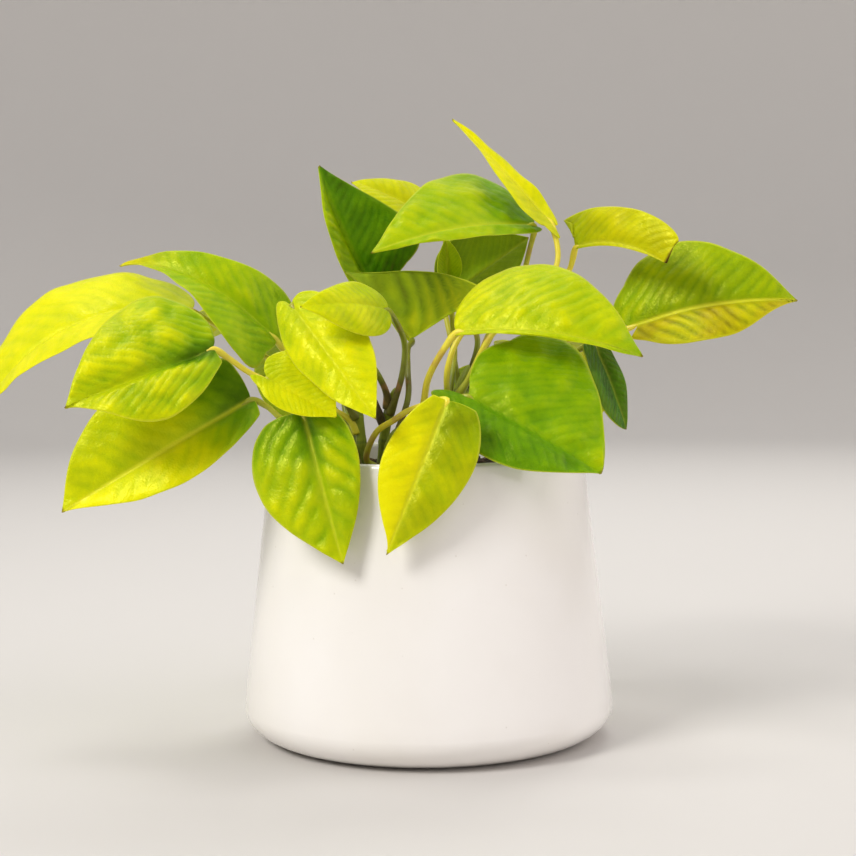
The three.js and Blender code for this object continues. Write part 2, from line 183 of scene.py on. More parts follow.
def ramp(tree, factor, stops):
    """A Color Ramp; stops are (position, colour) pairs."""
    made = node(tree, "ShaderNodeValToRGB", Fac=factor)
    elements = made.color_ramp.elements
    while len(elements) < len(stops):
        elements.new(1)
    for element, (position, colour) in zip(elements, stops):
        element.position = position
        element.color = (*colour, 1)
    return made.outputs[0]


def fade(tree, value, start, end, low=0.0, high=1.0):
    """A smooth step: low up to start, high from end on."""
    made = node(tree, "ShaderNodeMapRange", {"interpolation_type": "SMOOTHSTEP"}, Value=value)
    for name, number in (("From Min", start), ("From Max", end), ("To Min", low), ("To Max", high)):
        made.inputs[name].default_value = number
    return made.outputs[0]


def drift(tree, value, mask, amount):
    """A value moved up and down by a mask that lies about one half."""
    return calc(tree, "MULTIPLY_ADD", calc(tree, "SUBTRACT", mask, 0.5), amount, value)


def read(tree, name):
    """What paint() stored on the mesh under this name."""
    return node(tree, "ShaderNodeAttribute", {"attribute_name": name}).outputs["Fac"]


def object_place(tree):
    """The place on the object itself, in metres."""
    return node(tree, "ShaderNodeTexCoord").outputs["Object"]


def new_material(name):
    """A material, its node tree, and its Principled BSDF."""
    material = bpy.data.materials.new(name)
    material.use_nodes = True
    return material, material.node_tree, material.node_tree.nodes["Principled BSDF"]


def set_values(shader, **values):
    """Set inputs of a shader that are the same all over the surface."""
    for key, value in values.items():
        shader.inputs[key.replace("_", " ")].default_value = value


def add_bump(tree, shader, height, strength, depth):
    """Bend the shading normal by a height; depth in millimetres."""
    bump = node(tree, "ShaderNodeBump", Strength=strength, Distance=depth * MM, Height=height)
    feed(tree, shader.inputs["Normal"], bump.outputs["Normal"])


def new_group(name, inputs, outputs):
    """A shader node group with named sockets; returns it with its inner ends."""
    group = bpy.data.node_groups.new(name, "ShaderNodeTree")
    for label, default in inputs.items():
        socket = group.interface.new_socket(label, in_out="INPUT", socket_type="NodeSocketFloat")
        socket.default_value = default
    for label in outputs:
        group.interface.new_socket(label, in_out="OUTPUT", socket_type="NodeSocketFloat")
    start = group.nodes.new("NodeGroupInput").outputs
    end = group.nodes.new("NodeGroupOutput").inputs
    return group, start, end


def use_group(tree, group, **inputs):
    """Place a group in a tree and feed its inputs; returns its outputs."""
    return node(tree, "ShaderNodeGroup", {"node_tree": group}, **inputs).outputs


print("helpers ready")

# %% [markdown]
# ## Floor and light
# The plant stands on a plain pale floor that curves up all round into a low wall, like a
# photographer's sweep. A soft box high at the left is the key light, and a wide, weak one
# at the right keeps the other side of the pot bright. A small one above gives the leaves
# their sparkle. One behind the plant shines through the leaves, because a thin neon leaf
# looks its brightest with light behind it.

# %% Floor and light
FLOOR_RADIUS = 1700
SWEEP_RADIUS = 900
WALL_TOP = 2600
FLOOR_COLOUR = (0.66, 0.635, 0.61, 1)
FLOOR_ROUGHNESS = 0.6
LIGHT_TARGET = (0, 0, 130)
SKY_COLOUR = (0.95, 0.97, 1.0, 1)
SKY_STRENGTH = 0.42

sweep_end = (FLOOR_RADIUS + SWEEP_RADIUS, SWEEP_RADIUS)
floor_profile = [(0, 0), *quarter_arc((FLOOR_RADIUS, 0), sweep_end, 25), (sweep_end[0], WALL_TOP)]
floor_material, tree, shader = new_material("pale_floor")
set_values(shader, Base_Color=FLOOR_COLOUR, Roughness=FLOOR_ROUGHNESS)
floor = make_object("floor", *round_profile(floor_profile, 96), floor_material)


def soft_box(name, place, size, watts, colour):
    """A square area light that faces the plant."""
    light = bpy.data.lights.new(name, "AREA")
    light.shape = "SQUARE"
    light.size = size * MM
    light.energy = watts
    light.color = colour
    lamp = bpy.data.objects.new(name, light)
    bpy.context.scene.collection.objects.link(lamp)
    lamp.location = Vector(place) * MM
    towards = Vector(LIGHT_TARGET) * MM - lamp.location
    lamp.rotation_euler = towards.to_track_quat("-Z", "Y").to_euler()
    lamp.visible_camera = False
    return lamp


soft_box("key_light", (-1050, -1000, 1250), size=600, watts=21, colour=(1.0, 0.985, 0.95))
soft_box("side_window", (1750, -550, 1150), size=2200, watts=19, colour=(1.0, 0.94, 0.94))
soft_box("top_light", (-450, 100, 1500), size=300, watts=2.6, colour=(1.0, 0.99, 0.96))
back_light = soft_box("back_light", (250, 1000, 1350), size=900, watts=12, colour=(1.0, 1.0, 0.97))
back_light.visible_glossy = False

world = bpy.data.worlds.new("studio")
world.use_nodes = True
set_values(world.node_tree.nodes["Background"], Color=SKY_COLOUR, Strength=SKY_STRENGTH)
bpy.context.scene.world = world
bpy.context.scene.view_settings.view_transform = "Standard"

# %% [markdown]
# ## Shared surface effects
# Two effects turn up on nearly every piece, so each becomes a node group. Mottle is soft,
# cloudy variation, as in the depth of a glaze or the green of a leaf. Grain is a field of
# tiny cells, each a little bump, as the cells of a leaf's skin or the peel of a glaze.

# %% Shared surface effects
def texture_scale(group, size):
    """The scale that makes a texture's features this many millimetres wide."""
    return calc(group, "DIVIDE", 1 / MM, size)


mottle, mottle_in, mottle_out = new_group("Mottle", {"Size mm": 10, "Detail": 2}, ["Mask"])
mottle_noise = node(
    mottle,
    "ShaderNodeTexNoise",
    Vector=object_place(mottle),
    Scale=texture_scale(mottle, mottle_in["Size mm"]),
    Detail=mottle_in["Detail"],
)
feed(mottle, mottle_out["Mask"], mottle_noise.outputs["Fac"])

grain, grain_in, grain_out = new_group("Grain", {"Size mm": 1}, ["Height"])
grain_cells = node(
    grain,
    "ShaderNodeTexVoronoi",
    Vector=object_place(grain),
    Scale=texture_scale(grain, grain_in["Size mm"]),
)
feed(grain, grain_out["Height"], calc(grain, "SUBTRACT", 1, grain_cells.outputs["Distance"]))
print("groups:", [group.name for group in bpy.data.node_groups])

# %% [markdown]
# ## Glazed pot
# The pot is earthenware under a thick, glossy, warm white glaze. It is round, so its shape
# is one profile, turned once. The glaze is a pale glossy surface with a clear coat. It
# pools and thins a little, so its tone drifts, its gloss isn't quite even, and it bends
# reflections slightly. Here and there a pinhead speck of the clay shows through.

# %% Glazed pot
POT_HEIGHT = 115
POT_RIM_RADIUS = 63.5
POT_WIDEST_RADIUS = 75
POT_WIDEST_HEIGHT = 13
POT_FOOT_RADIUS = 57
POT_WALL = 4
POT_FLOOR = 6
LIP_RADIUS = 1.9
INNER_RING = 30
GLAZE_COLOURS = [(0.35, (0.90, 0.87, 0.83)), (0.6, (0.94, 0.915, 0.89))]
SPECK_COLOUR = (0.42, 0.36, 0.28, 1)
SPECK_SCALE = 120


def pot_side(height):
    """The outer radius of the straight, tapered side at a height."""
    share = (height - POT_WIDEST_HEIGHT) / (POT_HEIGHT - POT_WIDEST_HEIGHT)
    return POT_WIDEST_RADIUS + share * (POT_RIM_RADIUS - POT_WIDEST_RADIUS)


def pot_foot(inset, floor_height):
    """The rounded lower edge, from the foot out to the widest place."""
    start = (POT_FOOT_RADIUS - inset, floor_height)
    return quarter_arc(start, (POT_WIDEST_RADIUS - inset, POT_WIDEST_HEIGHT), 14)


lip_radius_at = pot_side(POT_HEIGHT) - LIP_RADIUS
lip = [
    (lip_radius_at + LIP_RADIUS * math.cos(a), POT_HEIGHT - LIP_RADIUS + LIP_RADIUS * math.sin(a))
    for a in np.linspace(0, math.pi, 13)
]
side_heights = np.linspace(POT_WIDEST_HEIGHT, POT_HEIGHT - LIP_RADIUS, 18)
outer_side = [(pot_side(height), height) for height in side_heights[1:-1]]
inner_side = [(radius - POT_WALL, height) for radius, height in reversed(outer_side)]
pot_profile = [
    (0, 0),
    (INNER_RING, 0),
    (POT_FOOT_RADIUS - 2, 0),
    *pot_foot(0, 0),
    *outer_side,
    *lip,
    *inner_side,
    *reversed(pot_foot(POT_WALL, POT_FLOOR)),
    (INNER_RING, POT_FLOOR),
    (0, POT_FLOOR),
]

glaze, tree, shader = new_material("white_glaze")
cloud = use_group(tree, mottle, Size_mm=60, Detail=2)["Mask"]
fine = use_group(tree, mottle, Size_mm=6, Detail=3)["Mask"]
cells = node(tree, "ShaderNodeTexVoronoi", Vector=object_place(tree), Scale=SPECK_SCALE)
speck = fade(tree, cells.outputs["Distance"], 0.02, 0.06, 0.22, 0)
colour = mix_colour(tree, speck, ramp(tree, cloud, GLAZE_COLOURS), SPECK_COLOUR)
feed(tree, shader.inputs["Base Color"], colour)
feed(tree, shader.inputs["Roughness"], fade(tree, fine, 0.3, 0.7, 0.13, 0.2))
peel = use_group(tree, grain, Size_mm=2.2)["Height"]
add_bump(tree, shader, calc(tree, "MULTIPLY_ADD", cloud, 8, peel), strength=0.35, depth=0.03)
set_values(shader, Coat_Weight=0.4, Coat_Roughness=0.06)

pot = make_object("glazed_pot", *round_profile(pot_profile, 160), glaze)
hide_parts("pot")
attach(pot, "root")
print("pot", len(pot.data.polygons), "faces")

# %% [markdown]
# ## Potting mix
# The mix is dark peat with bark fines. A smooth disc would look like chocolate, so its
# top is roughened with noise, and 900 small crumbs lie on it. Each crumb is a ball with
# its points pushed about, flattened and turned, and all of them are joined to the mix in
# one mesh. Every crumb has its own shade, stored on its points.

# %% Potting mix
MIX_HEIGHT = 107
MIX_CROWN = 1.2
MIX_GAP = 0.3
CRUMBS = 900
CRUMB_LENGTH = (0.8, 2.6)
CRUMB_WIDTH = (0.4, 0.8)
CRUMB_THICKNESS = (0.25, 0.6)
CRUMB_TILT = 0.4
CRUMB_RAGGED = 0.13
MIX_COLOURS = [
    (0.0, (0.012, 0.008, 0.006)),
    (0.6, (0.035, 0.022, 0.014)),
    (0.95, (0.10, 0.058, 0.032)),
]
chance = np.random.default_rng(11)


def rough(place, size, seed=0.0):
    """Smooth noise from about -1 to 1 at a place in millimetres."""
    return noise.noise(Vector(place) / size + Vector((seed, 0, 0)))


def mix_top(x, y):
    """The height of the mix at a place."""
    away = math.hypot(x, y) / POT_RIM_RADIUS
    lumps = 1.1 * rough((x, y, 0), 9) + 0.6 * rough((x, y, 0), 3.5, 5)
    return MIX_HEIGHT + MIX_CROWN * (1 - away**2) + lumps


def crumb_shape():
    """A ball of 42 points and its faces, one unit in radius."""
    ball = bmesh.new()
    bmesh.ops.create_icosphere(ball, subdivisions=2, radius=1)
    points = np.array([v.co for v in ball.verts])
    faces = [[v.index for v in face.verts] for face in ball.faces]
    ball.free()
    return points, faces


mix_edge = pot_side(MIX_HEIGHT) - POT_WALL - 0.2
mix_profile = [
    (0, POT_FLOOR + MIX_GAP),
    *pot_foot(POT_WALL + MIX_GAP, POT_FLOOR + MIX_GAP),
    *[(radius, MIX_HEIGHT) for radius in np.linspace(mix_edge, 0, 60)],
]
mix_points, mix_faces = round_profile(mix_profile, 120)
mix_points = np.array(mix_points)
is_top = mix_points[:, 2] > MIX_HEIGHT - 0.01
mix_points[is_top, 2] = [mix_top(x, y) for x, y in mix_points[is_top, :2]]
mix_parts = [(mix_points, mix_faces)]
mix_shades = [0.25 + 0.2 * rough(place, 4, 9) for place in mix_points]
crumb_points, crumb_faces = crumb_shape()
for _ in range(CRUMBS):
    reach = mix_edge * math.sqrt(chance.uniform(0, 0.94))
    angle = chance.uniform(0, 2 * math.pi)
    x, y = reach * math.cos(angle), reach * math.sin(angle)
    length = chance.uniform(*CRUMB_LENGTH)
    shape = crumb_points * chance.normal(1, CRUMB_RAGGED, (len(crumb_points), 1))
    width = length * chance.uniform(*CRUMB_WIDTH)
    shape = shape * (length, width, length * chance.uniform(*CRUMB_THICKNESS))
    turned = Matrix.Rotation(chance.uniform(0, 6.28), 3, "Z")
    tilted = Matrix.Rotation(chance.normal(0, CRUMB_TILT), 3, "X")
    shape = shape @ np.array(turned @ tilted).T + (x, y, mix_top(x, y) + 0.2 * length)
    mix_parts.append((shape, crumb_faces))
    mix_shades += [chance.uniform(0, 1)] * len(shape)

mix_material, tree, shader = new_material("dark_peat")
fine = use_group(tree, mottle, Size_mm=1.5, Detail=4)["Mask"]
tone = drift(tree, read(tree, "shade"), fine, 0.5)
feed(tree, shader.inputs["Base Color"], ramp(tree, tone, MIX_COLOURS))
add_bump(tree, shader, fine, strength=0.8, depth=0.4)
set_values(shader, Roughness=0.85)

mix = make_object("peat_mix", *join_parts(mix_parts), mix_material)
paint(mix, "shade", mix_shades)
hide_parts("potting_mix")
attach(mix, "root")
print("mix", len(mix.data.polygons), "faces,", CRUMBS, "crumbs")

# %% [markdown]
# ## Paths and tubes
# Vines and stalks follow smooth lines through a few points. The line is a centripetal
# Catmull-Rom spline, which passes through its points and never loops between them. A
# tube is then a ring of points carried along the line without twisting, and its radius
# may differ along the line and round it, which makes swellings, grooves and tips.

# %% Paths and tubes
def smooth_line(points, steps):
    """Evenly spaced points on a centripetal Catmull-Rom spline through the points."""
    line = np.array(points, float)
    knots = np.vstack([2 * line[0] - line[1], line, 2 * line[-1] - line[-2]])
    dense = []
    for p0, p1, p2, p3 in zip(knots, knots[1:], knots[2:], knots[3:]):
        sides = (p1 - p0, p2 - p1, p3 - p2)
        before, here, after = [max(math.sqrt(np.linalg.norm(side)), 1e-4) for side in sides]
        into = (sides[0] / before - (p2 - p0) / (before + here) + sides[1] / here) * here
        out = (sides[1] / here - (p3 - p1) / (here + after) + sides[2] / after) * here
        for s in np.linspace(0, 1, 40, endpoint=False):
            dense.append(
                (2 * s**3 - 3 * s**2 + 1) * p1
                + (s**3 - 2 * s**2 + s) * into
                + (3 * s**2 - 2 * s**3) * p2
                + (s**3 - s**2) * out
            )
    dense = np.array([*dense, line[-1]])
    reach = np.concatenate([[0], np.cumsum(np.linalg.norm(np.diff(dense, axis=0), axis=1))])
    wanted = np.linspace(0, reach[-1], steps)
    return np.stack([np.interp(wanted, reach, dense[:, k]) for k in range(3)], axis=1)


def unit(vectors):
    """The same directions with length one."""
    vectors = np.asarray(vectors, float)
    return vectors / np.maximum(np.linalg.norm(vectors, axis=-1, keepdims=True), 1e-9)


def smooth_step(value, start, end):
    """0 up to start, 1 from end on, smooth between them."""
    t = np.clip((value - start) / (end - start), 0, 1)
    return t * t * (3 - 2 * t)


def bell(offset, width):
    """1 in the middle, and softly down to 0 about two widths away."""
    return np.exp(-((offset / width) ** 2))


def circle_angles(sides):
    """The angles of a ring of points."""
    return np.arange(sides) * 2 * math.pi / sides


def carried_frames(line, first_up):
    """Directions up and across at each point of a line, without twist."""
    along = unit(np.gradient(line, axis=0))
    up = np.zeros_like(along)
    now = np.asarray(first_up, float)
    for i, direction in enumerate(along):
        now = unit(now - now.dot(direction) * direction)
        up[i] = now
    return up, np.cross(along, up)


def skin_tube(line, first_up, radii):
    """Points and faces of a closed tube; radii[i, k] is the radius at ring i, angle k."""
    up, across = carried_frames(line, first_up)
    rings, sides = radii.shape
    angles = circle_angles(sides)
    ring = np.cos(angles)[:, None] * up[:, None] + np.sin(angles)[:, None] * across[:, None]
    points = (line[:, None] + ring * radii[..., None]).reshape(-1, 3)
    points = np.vstack([points, line[0], line[-1]])
    first, last = rings * sides, rings * sides + 1
    top = (rings - 1) * sides
    faces = []
    for k in range(sides):
        after = (k + 1) % sides
        for a in range(0, top, sides):
            b = a + sides
            faces.append([a + k, a + after, b + after, b + k])
        faces.append([first, after, k])
        faces.append([last, top + k, top + after])
    return points, faces


test_line = smooth_line([(0, 0, 0), (0, 0, 10), (5, 0, 20)], 20)
print("a test line bends through", [round(float(x), 1) for x in test_line[10]])

# %% [markdown]
# ## Vines
# Each vine is a rooted cutting: a round green stem, thicker at its joints, where leaves
# have grown or been shed and left a ring-shaped scar. Its growing end tapers. The skin
# goes from brown and corky near the soil to fresh green, with fine lengthwise streaks.
# The centre vine still has the dried sheath of an old leaf, a flat brown strip that is
# joined to its mesh.

# %% Vines
VINES = {
    "front_left": [(-25, -25, 88), (-25, -26, 108), (-26, -28, 128), (-29, -31, 142)],
    "centre": [(-19, -16, 88), (-18, -17, 108), (-16, -19, 126), (-12, -21, 142)],
    "front_right": [(-16, -33, 88), (-17, -34, 108), (-14, -33, 120), (-11, -32, 127)],
    "right": [(6, 5, 88), (6, 6, 108), (10, 8, 130), (18, 9, 150)],
    "back_left": [(-31, 8, 88), (-31, 8, 108), (-31, 11, 132), (-32, 14, 150)],
    "back": [(14, 27, 88), (14, 28, 108), (16, 31, 132), (20, 33, 150)],
}
VINE_RADIUS = 1.95
VINE_SIDES = 20
VINE_JOINTS = (0.42, 0.6, 0.8)
JOINT_SWELLING = 0.35
SCAR_DEPTH = 0.16
SCAR_AGE = 0.35
SHEATH_PATH = [(-16, -19, 124), (-18, -21, 130), (-20, -22, 136), (-21, -22, 140)]
SHEATH_HALF_WIDTH = 2.2
SHEATH_FLATNESS = 0.22
SHEATH_AGE = 0.85
STREAK_SCALE = 1600
STREAK_STRETCH = (1, 1, 0.12)
VINE_COLOURS = [
    (0.1, (0.26, 0.32, 0.02)),
    (0.45, (0.14, 0.19, 0.015)),
    (0.7, (0.12, 0.095, 0.025)),
    (0.95, (0.06, 0.036, 0.015)),
]

vine_skin, tree, shader = new_material("vine_skin")
stretched = node(tree, "ShaderNodeMapping", Vector=object_place(tree), Scale=STREAK_STRETCH)
streaks = node(
    tree, "ShaderNodeTexNoise", Vector=stretched.outputs[0], Scale=STREAK_SCALE, Detail=2
).outputs["Fac"]
age = drift(tree, read(tree, "age"), streaks, 0.6)
feed(tree, shader.inputs["Base Color"], ramp(tree, age, VINE_COLOURS))
add_bump(tree, shader, streaks, strength=0.6, depth=0.2)
set_values(shader, Roughness=0.45)


def dried_sheath():
    """A brown papery strip that an old leaf left behind; a flat, tapering tube."""
    line = smooth_line(SHEATH_PATH, 30)
    share = np.linspace(0, 1, len(line))
    taper = np.sqrt(np.clip(np.sin(math.pi * (0.12 + 0.88 * share)), 0.01, 1))
    angles = circle_angles(VINE_SIDES)
    flat = np.hypot(np.cos(angles) / SHEATH_FLATNESS, np.sin(angles))
    return skin_tube(line, (-0.5, -0.8, 0), SHEATH_HALF_WIDTH * taper[:, None] / flat[None, :])


for name, points in VINES.items():
    line = smooth_line(points, 90)
    share = np.linspace(0, 1, len(line))
    radius = np.full(len(line), VINE_RADIUS)
    age = 0.65 - 0.6 * smooth_step(share, 0.33, 0.7)
    for joint in VINE_JOINTS:
        scar = share - joint - 0.012
        radius += JOINT_SWELLING * bell(share - joint, 0.035)
        radius -= SCAR_DEPTH * bell(scar, 0.006)
        age += SCAR_AGE * bell(scar, 0.008)
    radius *= np.sqrt(np.clip((1 - share) / 0.09, 0.02, 1))
    ridges = 1 + 0.03 * np.cos(5 * circle_angles(VINE_SIDES))
    parts = [skin_tube(line, (0, -1, 0), radius[:, None] * ridges[None, :])]
    ages = [*np.repeat(age, VINE_SIDES), age[0], age[-1]]
    if name == "centre":
        parts.append(dried_sheath())
        ages += [SHEATH_AGE] * len(parts[1][0])
    vine = make_object("stem_" + name, *join_parts(parts), vine_skin)
    paint(vine, "age", ages)
    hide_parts("vine_" + name)
    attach(vine, "root")
print(len(VINES), "vines")

# %% [markdown]
# ## The shape of a blade
# A blade grows from a midrib and two halves. The midrib runs from base to tip and bends
# down by droop and sideways by sweep. The outline says, for a half, how wide the blade
# is along the midrib, with a rounded lobe behind the stalk and a drawn-out tip. Each half
# folds up from the midrib by an angle, and cups down again towards its margin. The two
# halves of a real leaf are never quite alike. So each has its own width, its own belly,
# which bulges towards the tip, a lobe of its own size, and a taper towards its two ends.

# %% The shape of a blade
HALF_OUTLINE = [
    (0, 0), (-0.03, 0.12), (-0.04, 0.36), (0.015, 0.66), (0.14, 0.9), (0.33, 1),
    (0.53, 0.89), (0.71, 0.64), (0.86, 0.32), (0.955, 0.1), (1, 0),
]
BLADE_ROWS = 88
BLADE_COLUMNS = 26
EDGE_CROWDING = 1.25
MIDRIB_STEPS = 40
PLAIN_HALF = (1, 0, 1, 1)


def outline_at(shares):
    """Points on a smooth curve through HALF_OUTLINE; shares from 0 to 1."""
    knots = np.array(HALF_OUTLINE, float)
    knots = np.vstack([2 * knots[0] - knots[1], knots, 2 * knots[-1] - knots[-2]])
    place = np.asarray(shares) * (len(HALF_OUTLINE) - 1)
    i = np.minimum(place.astype(int), len(HALF_OUTLINE) - 2)
    s = (place - i)[:, None]
    p0, p1, p2, p3 = knots[i], knots[i + 1], knots[i + 2], knots[i + 3]
    return 0.5 * (
        2 * p1
        + (p2 - p0) * s
        + (2 * p0 - 5 * p1 + 4 * p2 - p3) * s**2
        + (3 * p1 - p0 - 3 * p2 + p3) * s**3
    )


def blade_axes(leaf):
    """Base, length, and a matrix whose rows point along, left and up."""
    base = np.array(leaf["base"], float)
    chord = np.array(leaf["tip"], float) - base
    length = np.linalg.norm(chord)
    along = chord / length
    faces = np.array(leaf["faces"], float)
    up = unit(faces - faces.dot(along) * along)
    return base, length, np.stack([along, np.cross(up, along), up])


def midrib(leaf, length):
    """The midrib in the blade's own axes: its points, directions and length."""
    share = (np.arange(MIDRIB_STEPS) + 0.5) / MIDRIB_STEPS
    pitch = math.radians(leaf["droop"]) * (0.5 - share ** leaf["bend"])
    yaw = math.radians(leaf["sweep"]) * (0.5 - share)
    steps = np.stack([np.cos(pitch) * np.cos(yaw), np.cos(pitch) * np.sin(yaw), np.sin(pitch)], 1)
    line = np.vstack([[0, 0, 0], np.cumsum(steps, axis=0)])
    turn = Vector(line[-1]).rotation_difference(Vector((1, 0, 0))).to_matrix()
    stretch = length / np.linalg.norm(line[-1])
    line = line @ np.array(turn).T * stretch
    return line, unit(np.gradient(line, axis=0)), stretch * MIDRIB_STEPS


def along_midrib(values, share):
    """Values of the midrib at any shares of its length."""
    steps = np.linspace(0, 1, len(values))
    share = np.clip(share, 0, 1)
    return np.stack([np.interp(share, steps, values[:, k]) for k in range(3)], axis=-1)


def blade_grid(leaf):
    """The blade's middle surface as a grid of points, with what the veins need.

    Returns points (rows, columns, 3) in millimetres, along and lateral (the place on
    the flat leaf as shares of its length), across (0 midrib, 1 margin) and its length.
    """
    base, length, axes = blade_axes(leaf)
    line, directions, arc = midrib(leaf, length)
    rows = np.linspace(0, 1, BLADE_ROWS + 1)
    columns = np.linspace(-1, 1, 2 * BLADE_COLUMNS + 1)
    side = np.sign(columns) * np.abs(columns) ** EDGE_CROWDING
    across = np.abs(side)
    halves = [leaf["left" if s > 0 else "right"] for s in side]
    halves = [(*half, *PLAIN_HALF[len(half):]) for half in halves]
    width, belly, lobe, taper = np.array(halves, float).T
    margin = outline_at(rows)
    reach = margin[:, :1]
    margin_share = np.where(reach < 0, reach * lobe, reach + belly * reach * (1 - reach))
    root_share = rows[:, None] ** EDGE_CROWDING
    share = root_share + (margin_share - root_share) * across
    spread = across * np.maximum(margin[:, 1:], 0) ** taper
    half_width = leaf["width"] / 2 * width
    direction = unit(along_midrib(directions, share))
    left = unit(np.cross((0, 0, 1), direction))
    up = np.cross(direction, left)
    fold = math.radians(leaf["fold"])
    points = along_midrib(line, share) + direction * (np.minimum(share, 0) * arc)[..., None]
    points += left * (np.sign(side) * spread * half_width * math.cos(fold))[..., None]
    rise = half_width * (spread * math.sin(fold) - leaf["cup"] * spread**2)
    points += up * rise[..., None]
    lateral = np.sign(side) * spread * half_width / arc
    return base + points @ axes, share, lateral, np.broadcast_to(across, share.shape), arc


print("outline is widest at", max(HALF_OUTLINE, key=lambda p: p[1])[0], "of its length")

# %% [markdown]
# ## Veins and relief
# Side veins leave the midrib at a steep angle and curve forward along the margin. On the
# upper face they lie in shallow valleys and the blade puffs up a little between them,
# which gives the quilted look of a healthy pothos. Each point gets a row: a whole number
# on a side vein, and a half midway between two. The row shapes the valleys and puffs, and
# is stored on the points for the thin veins of the material.

# %% Veins and relief
VEIN_CURVE = 1.15
VEIN_WANDER = 0.55
MIDRIB_CHANNEL = 0.3
MIDRIB_KEEL = 0.8
MIDRIB_BLEND = 1.5
BLADE_THICKNESS = 0.5
MARGIN_THICKNESS = 0.26


def rough_grid(points, size, seed=0.0):
    """rough() at every point of a grid."""
    values = [rough(place, size, seed) for place in points.reshape(-1, 3)]
    return np.array(values).reshape(points.shape[:2])


def vein_rows(leaf, points, along, lateral):
    """Whole numbers on the side veins, halves midway between them."""
    away = np.abs(lateral)
    rows = (along - leaf["slant"] * away - VEIN_CURVE * away**2) / leaf["veins"]
    wander = VEIN_WANDER * rough_grid(points, 16, 2) * np.minimum(8 * away, 1)
    return rows + 0.25 * np.sign(lateral) + wander


def by_half(value, offset):
    """One number, or (left half, right half) joined softly across the midrib."""
    left, right = value if isinstance(value, tuple) else (value, value)
    return right + (left - right) * smooth_step(offset, -MIDRIB_BLEND, MIDRIB_BLEND)


def blade_relief(leaf, points, along, lateral, across, arc, vein_row):
    """Heights in millimetres: relief, sag of the blade, midrib channel; and a shade.

    The shade is added to the ripeness: valleys are greener (their own colour and painted shade), and
    puffs and lumps are yellower (painted light).
    """
    distance = np.abs(lateral) * arc
    puff = np.sqrt(0.5 - 0.5 * np.cos(2 * math.pi * vein_row))
    inside = smooth_step(distance, 0.8, 4) * (1 - smooth_step(across, 0.85, 1))
    bumps = rough_grid(points, 8) + 0.3 * rough_grid(points, 3.6, 7)
    relief = (leaf["quilt"] * puff + leaf["lumps"] * bumps) * inside
    wave = leaf["wave"] * rough_grid(points, 13, 3) * across**3 * smooth_step(along, 0, 0.15)
    crease = np.exp(-((distance / 3.2) ** 1.3)) * smooth_step(along, 0.02, 0.15)
    sag = wave - leaf["crease"] * crease * (1 - smooth_step(along, 0.6, 1))
    channel = MIDRIB_CHANNEL * bell(distance, 0.85) * (1 - 0.7 * along)
    uneven = 1 + rough_grid(points, 11, 4)
    # Valleys between side veins turn greener, partly their own colour and partly painted shade;
    # raised lumps turn yellower as painted light.
    streaks = by_half(leaf["streaks"], lateral * arc) * uneven * (0.6 - puff)
    return relief, sag, channel, (streaks - leaf["patchy"] * bumps) * inside


print("a blade is", BLADE_THICKNESS, "mm thick, and", MARGIN_THICKNESS, "mm at its margin")

# %% [markdown]
# ## The leaves of this plant
# Every leaf is one entry: its name, its vine and the height of its joint, the points its
# stalk passes, its base, its tip, and which way it faces. Next come the left and the
# right half, each as far as its width, belly, lobe and taper aren't plain. The rest is
# named. Tone runs from 0, the neon yellow of a young blade in bright light, to 1, the dark
# green of an old one in shade; it holds the blade's own colour and also painted light and
# shade, such as a darker half that turns away from the light. A pair of numbers means left
# half and right half. What an entry leaves out is as on the plain leaf, which is noted down
# first.

# %% The leaves of this plant
PLAIN_LEAF = {
    # bends in degrees, how late along the midrib the droop comes, and how cupped it is
    "droop": 20, "bend": 1, "sweep": 0, "fold": 10, "cup": 0.1,
    # side veins: their spacing as a share of the blade's length, and how they slant
    "veins": 0.088, "slant": 0.62,
    # relief in mm: puffs between veins, lumps, wavy margin, crease along the midrib
    "quilt": 0.35, "lumps": 0.4, "wave": 1.6, "crease": 0.9,
    # tone added at the base and in the crease, both painted shade, at the tip, in the valleys
    # between veins (their own colour and painted shade), and by lumps (painted light and shade)
    "base_tone": 0.12, "tip_tone": -0.05, "crease_tone": 0, "streaks": 0.02, "patchy": 0.12,
    # golden cast of the whole blade and of its tip, and how pale the midrib is
    "gold": 0.1, "tip_gold": 0, "rib": 0.3,
    # the stalk: its radius in mm, its age, and how much darker it is at its foot (older skin and
    # painted shade deep in the plant)
    "stalk_radius": 1.25, "stalk_age": 0.5, "foot_age": 0.5,
}
LEAVES = {}


def add_leaf(name, vine, joint, stalk, base, tip, faces, left, right, **more):
    """Note one leaf down; places are in millimetres."""
    line = {"vine": vine, "joint": joint, "stalk": stalk}
    blade = {"base": base, "tip": tip, "faces": faces, "left": left, "right": right}
    LEAVES[name] = {**PLAIN_LEAF, **line, **blade, **more}


add_leaf(
    "far_left", "back_left", 124, [(-46, 11, 142), (-68, 6, 156), (-84, 0, 167)], (-94, -8, 174),
    (-173, -24, 136), (-0.4, -0.6, 0.75), (0.85,), (1.3, 0.3),
    width=46, droop=85, fold=8, quilt=0.12, crease=0.6, tone=(0.08, 0.1), streaks=0.03, patchy=0.04,
    gold=0.15, stalk_age=0.3,
)
add_leaf(
    "left", "front_left", 127, [(-44, -34, 138), (-67, -40, 149), (-75, -44, 155)], (-80, -48, 159),
    (-133, -68, 138), (-0.1, -0.85, 0.5), (0.9, 0.6, 0, 2.2), (1.35, -0.2, 1.2),
    width=50, droop=25, cup=0.25, slant=1, quilt=0.55, lumps=1.3, crease=2.8, tone=0.3, base_tone=0.2,
    crease_tone=0.4, streaks=0.08, patchy=0.3, gold=(0.25, 0.2), rib=0, stalk_age=-0.2, foot_age=0.4,
)
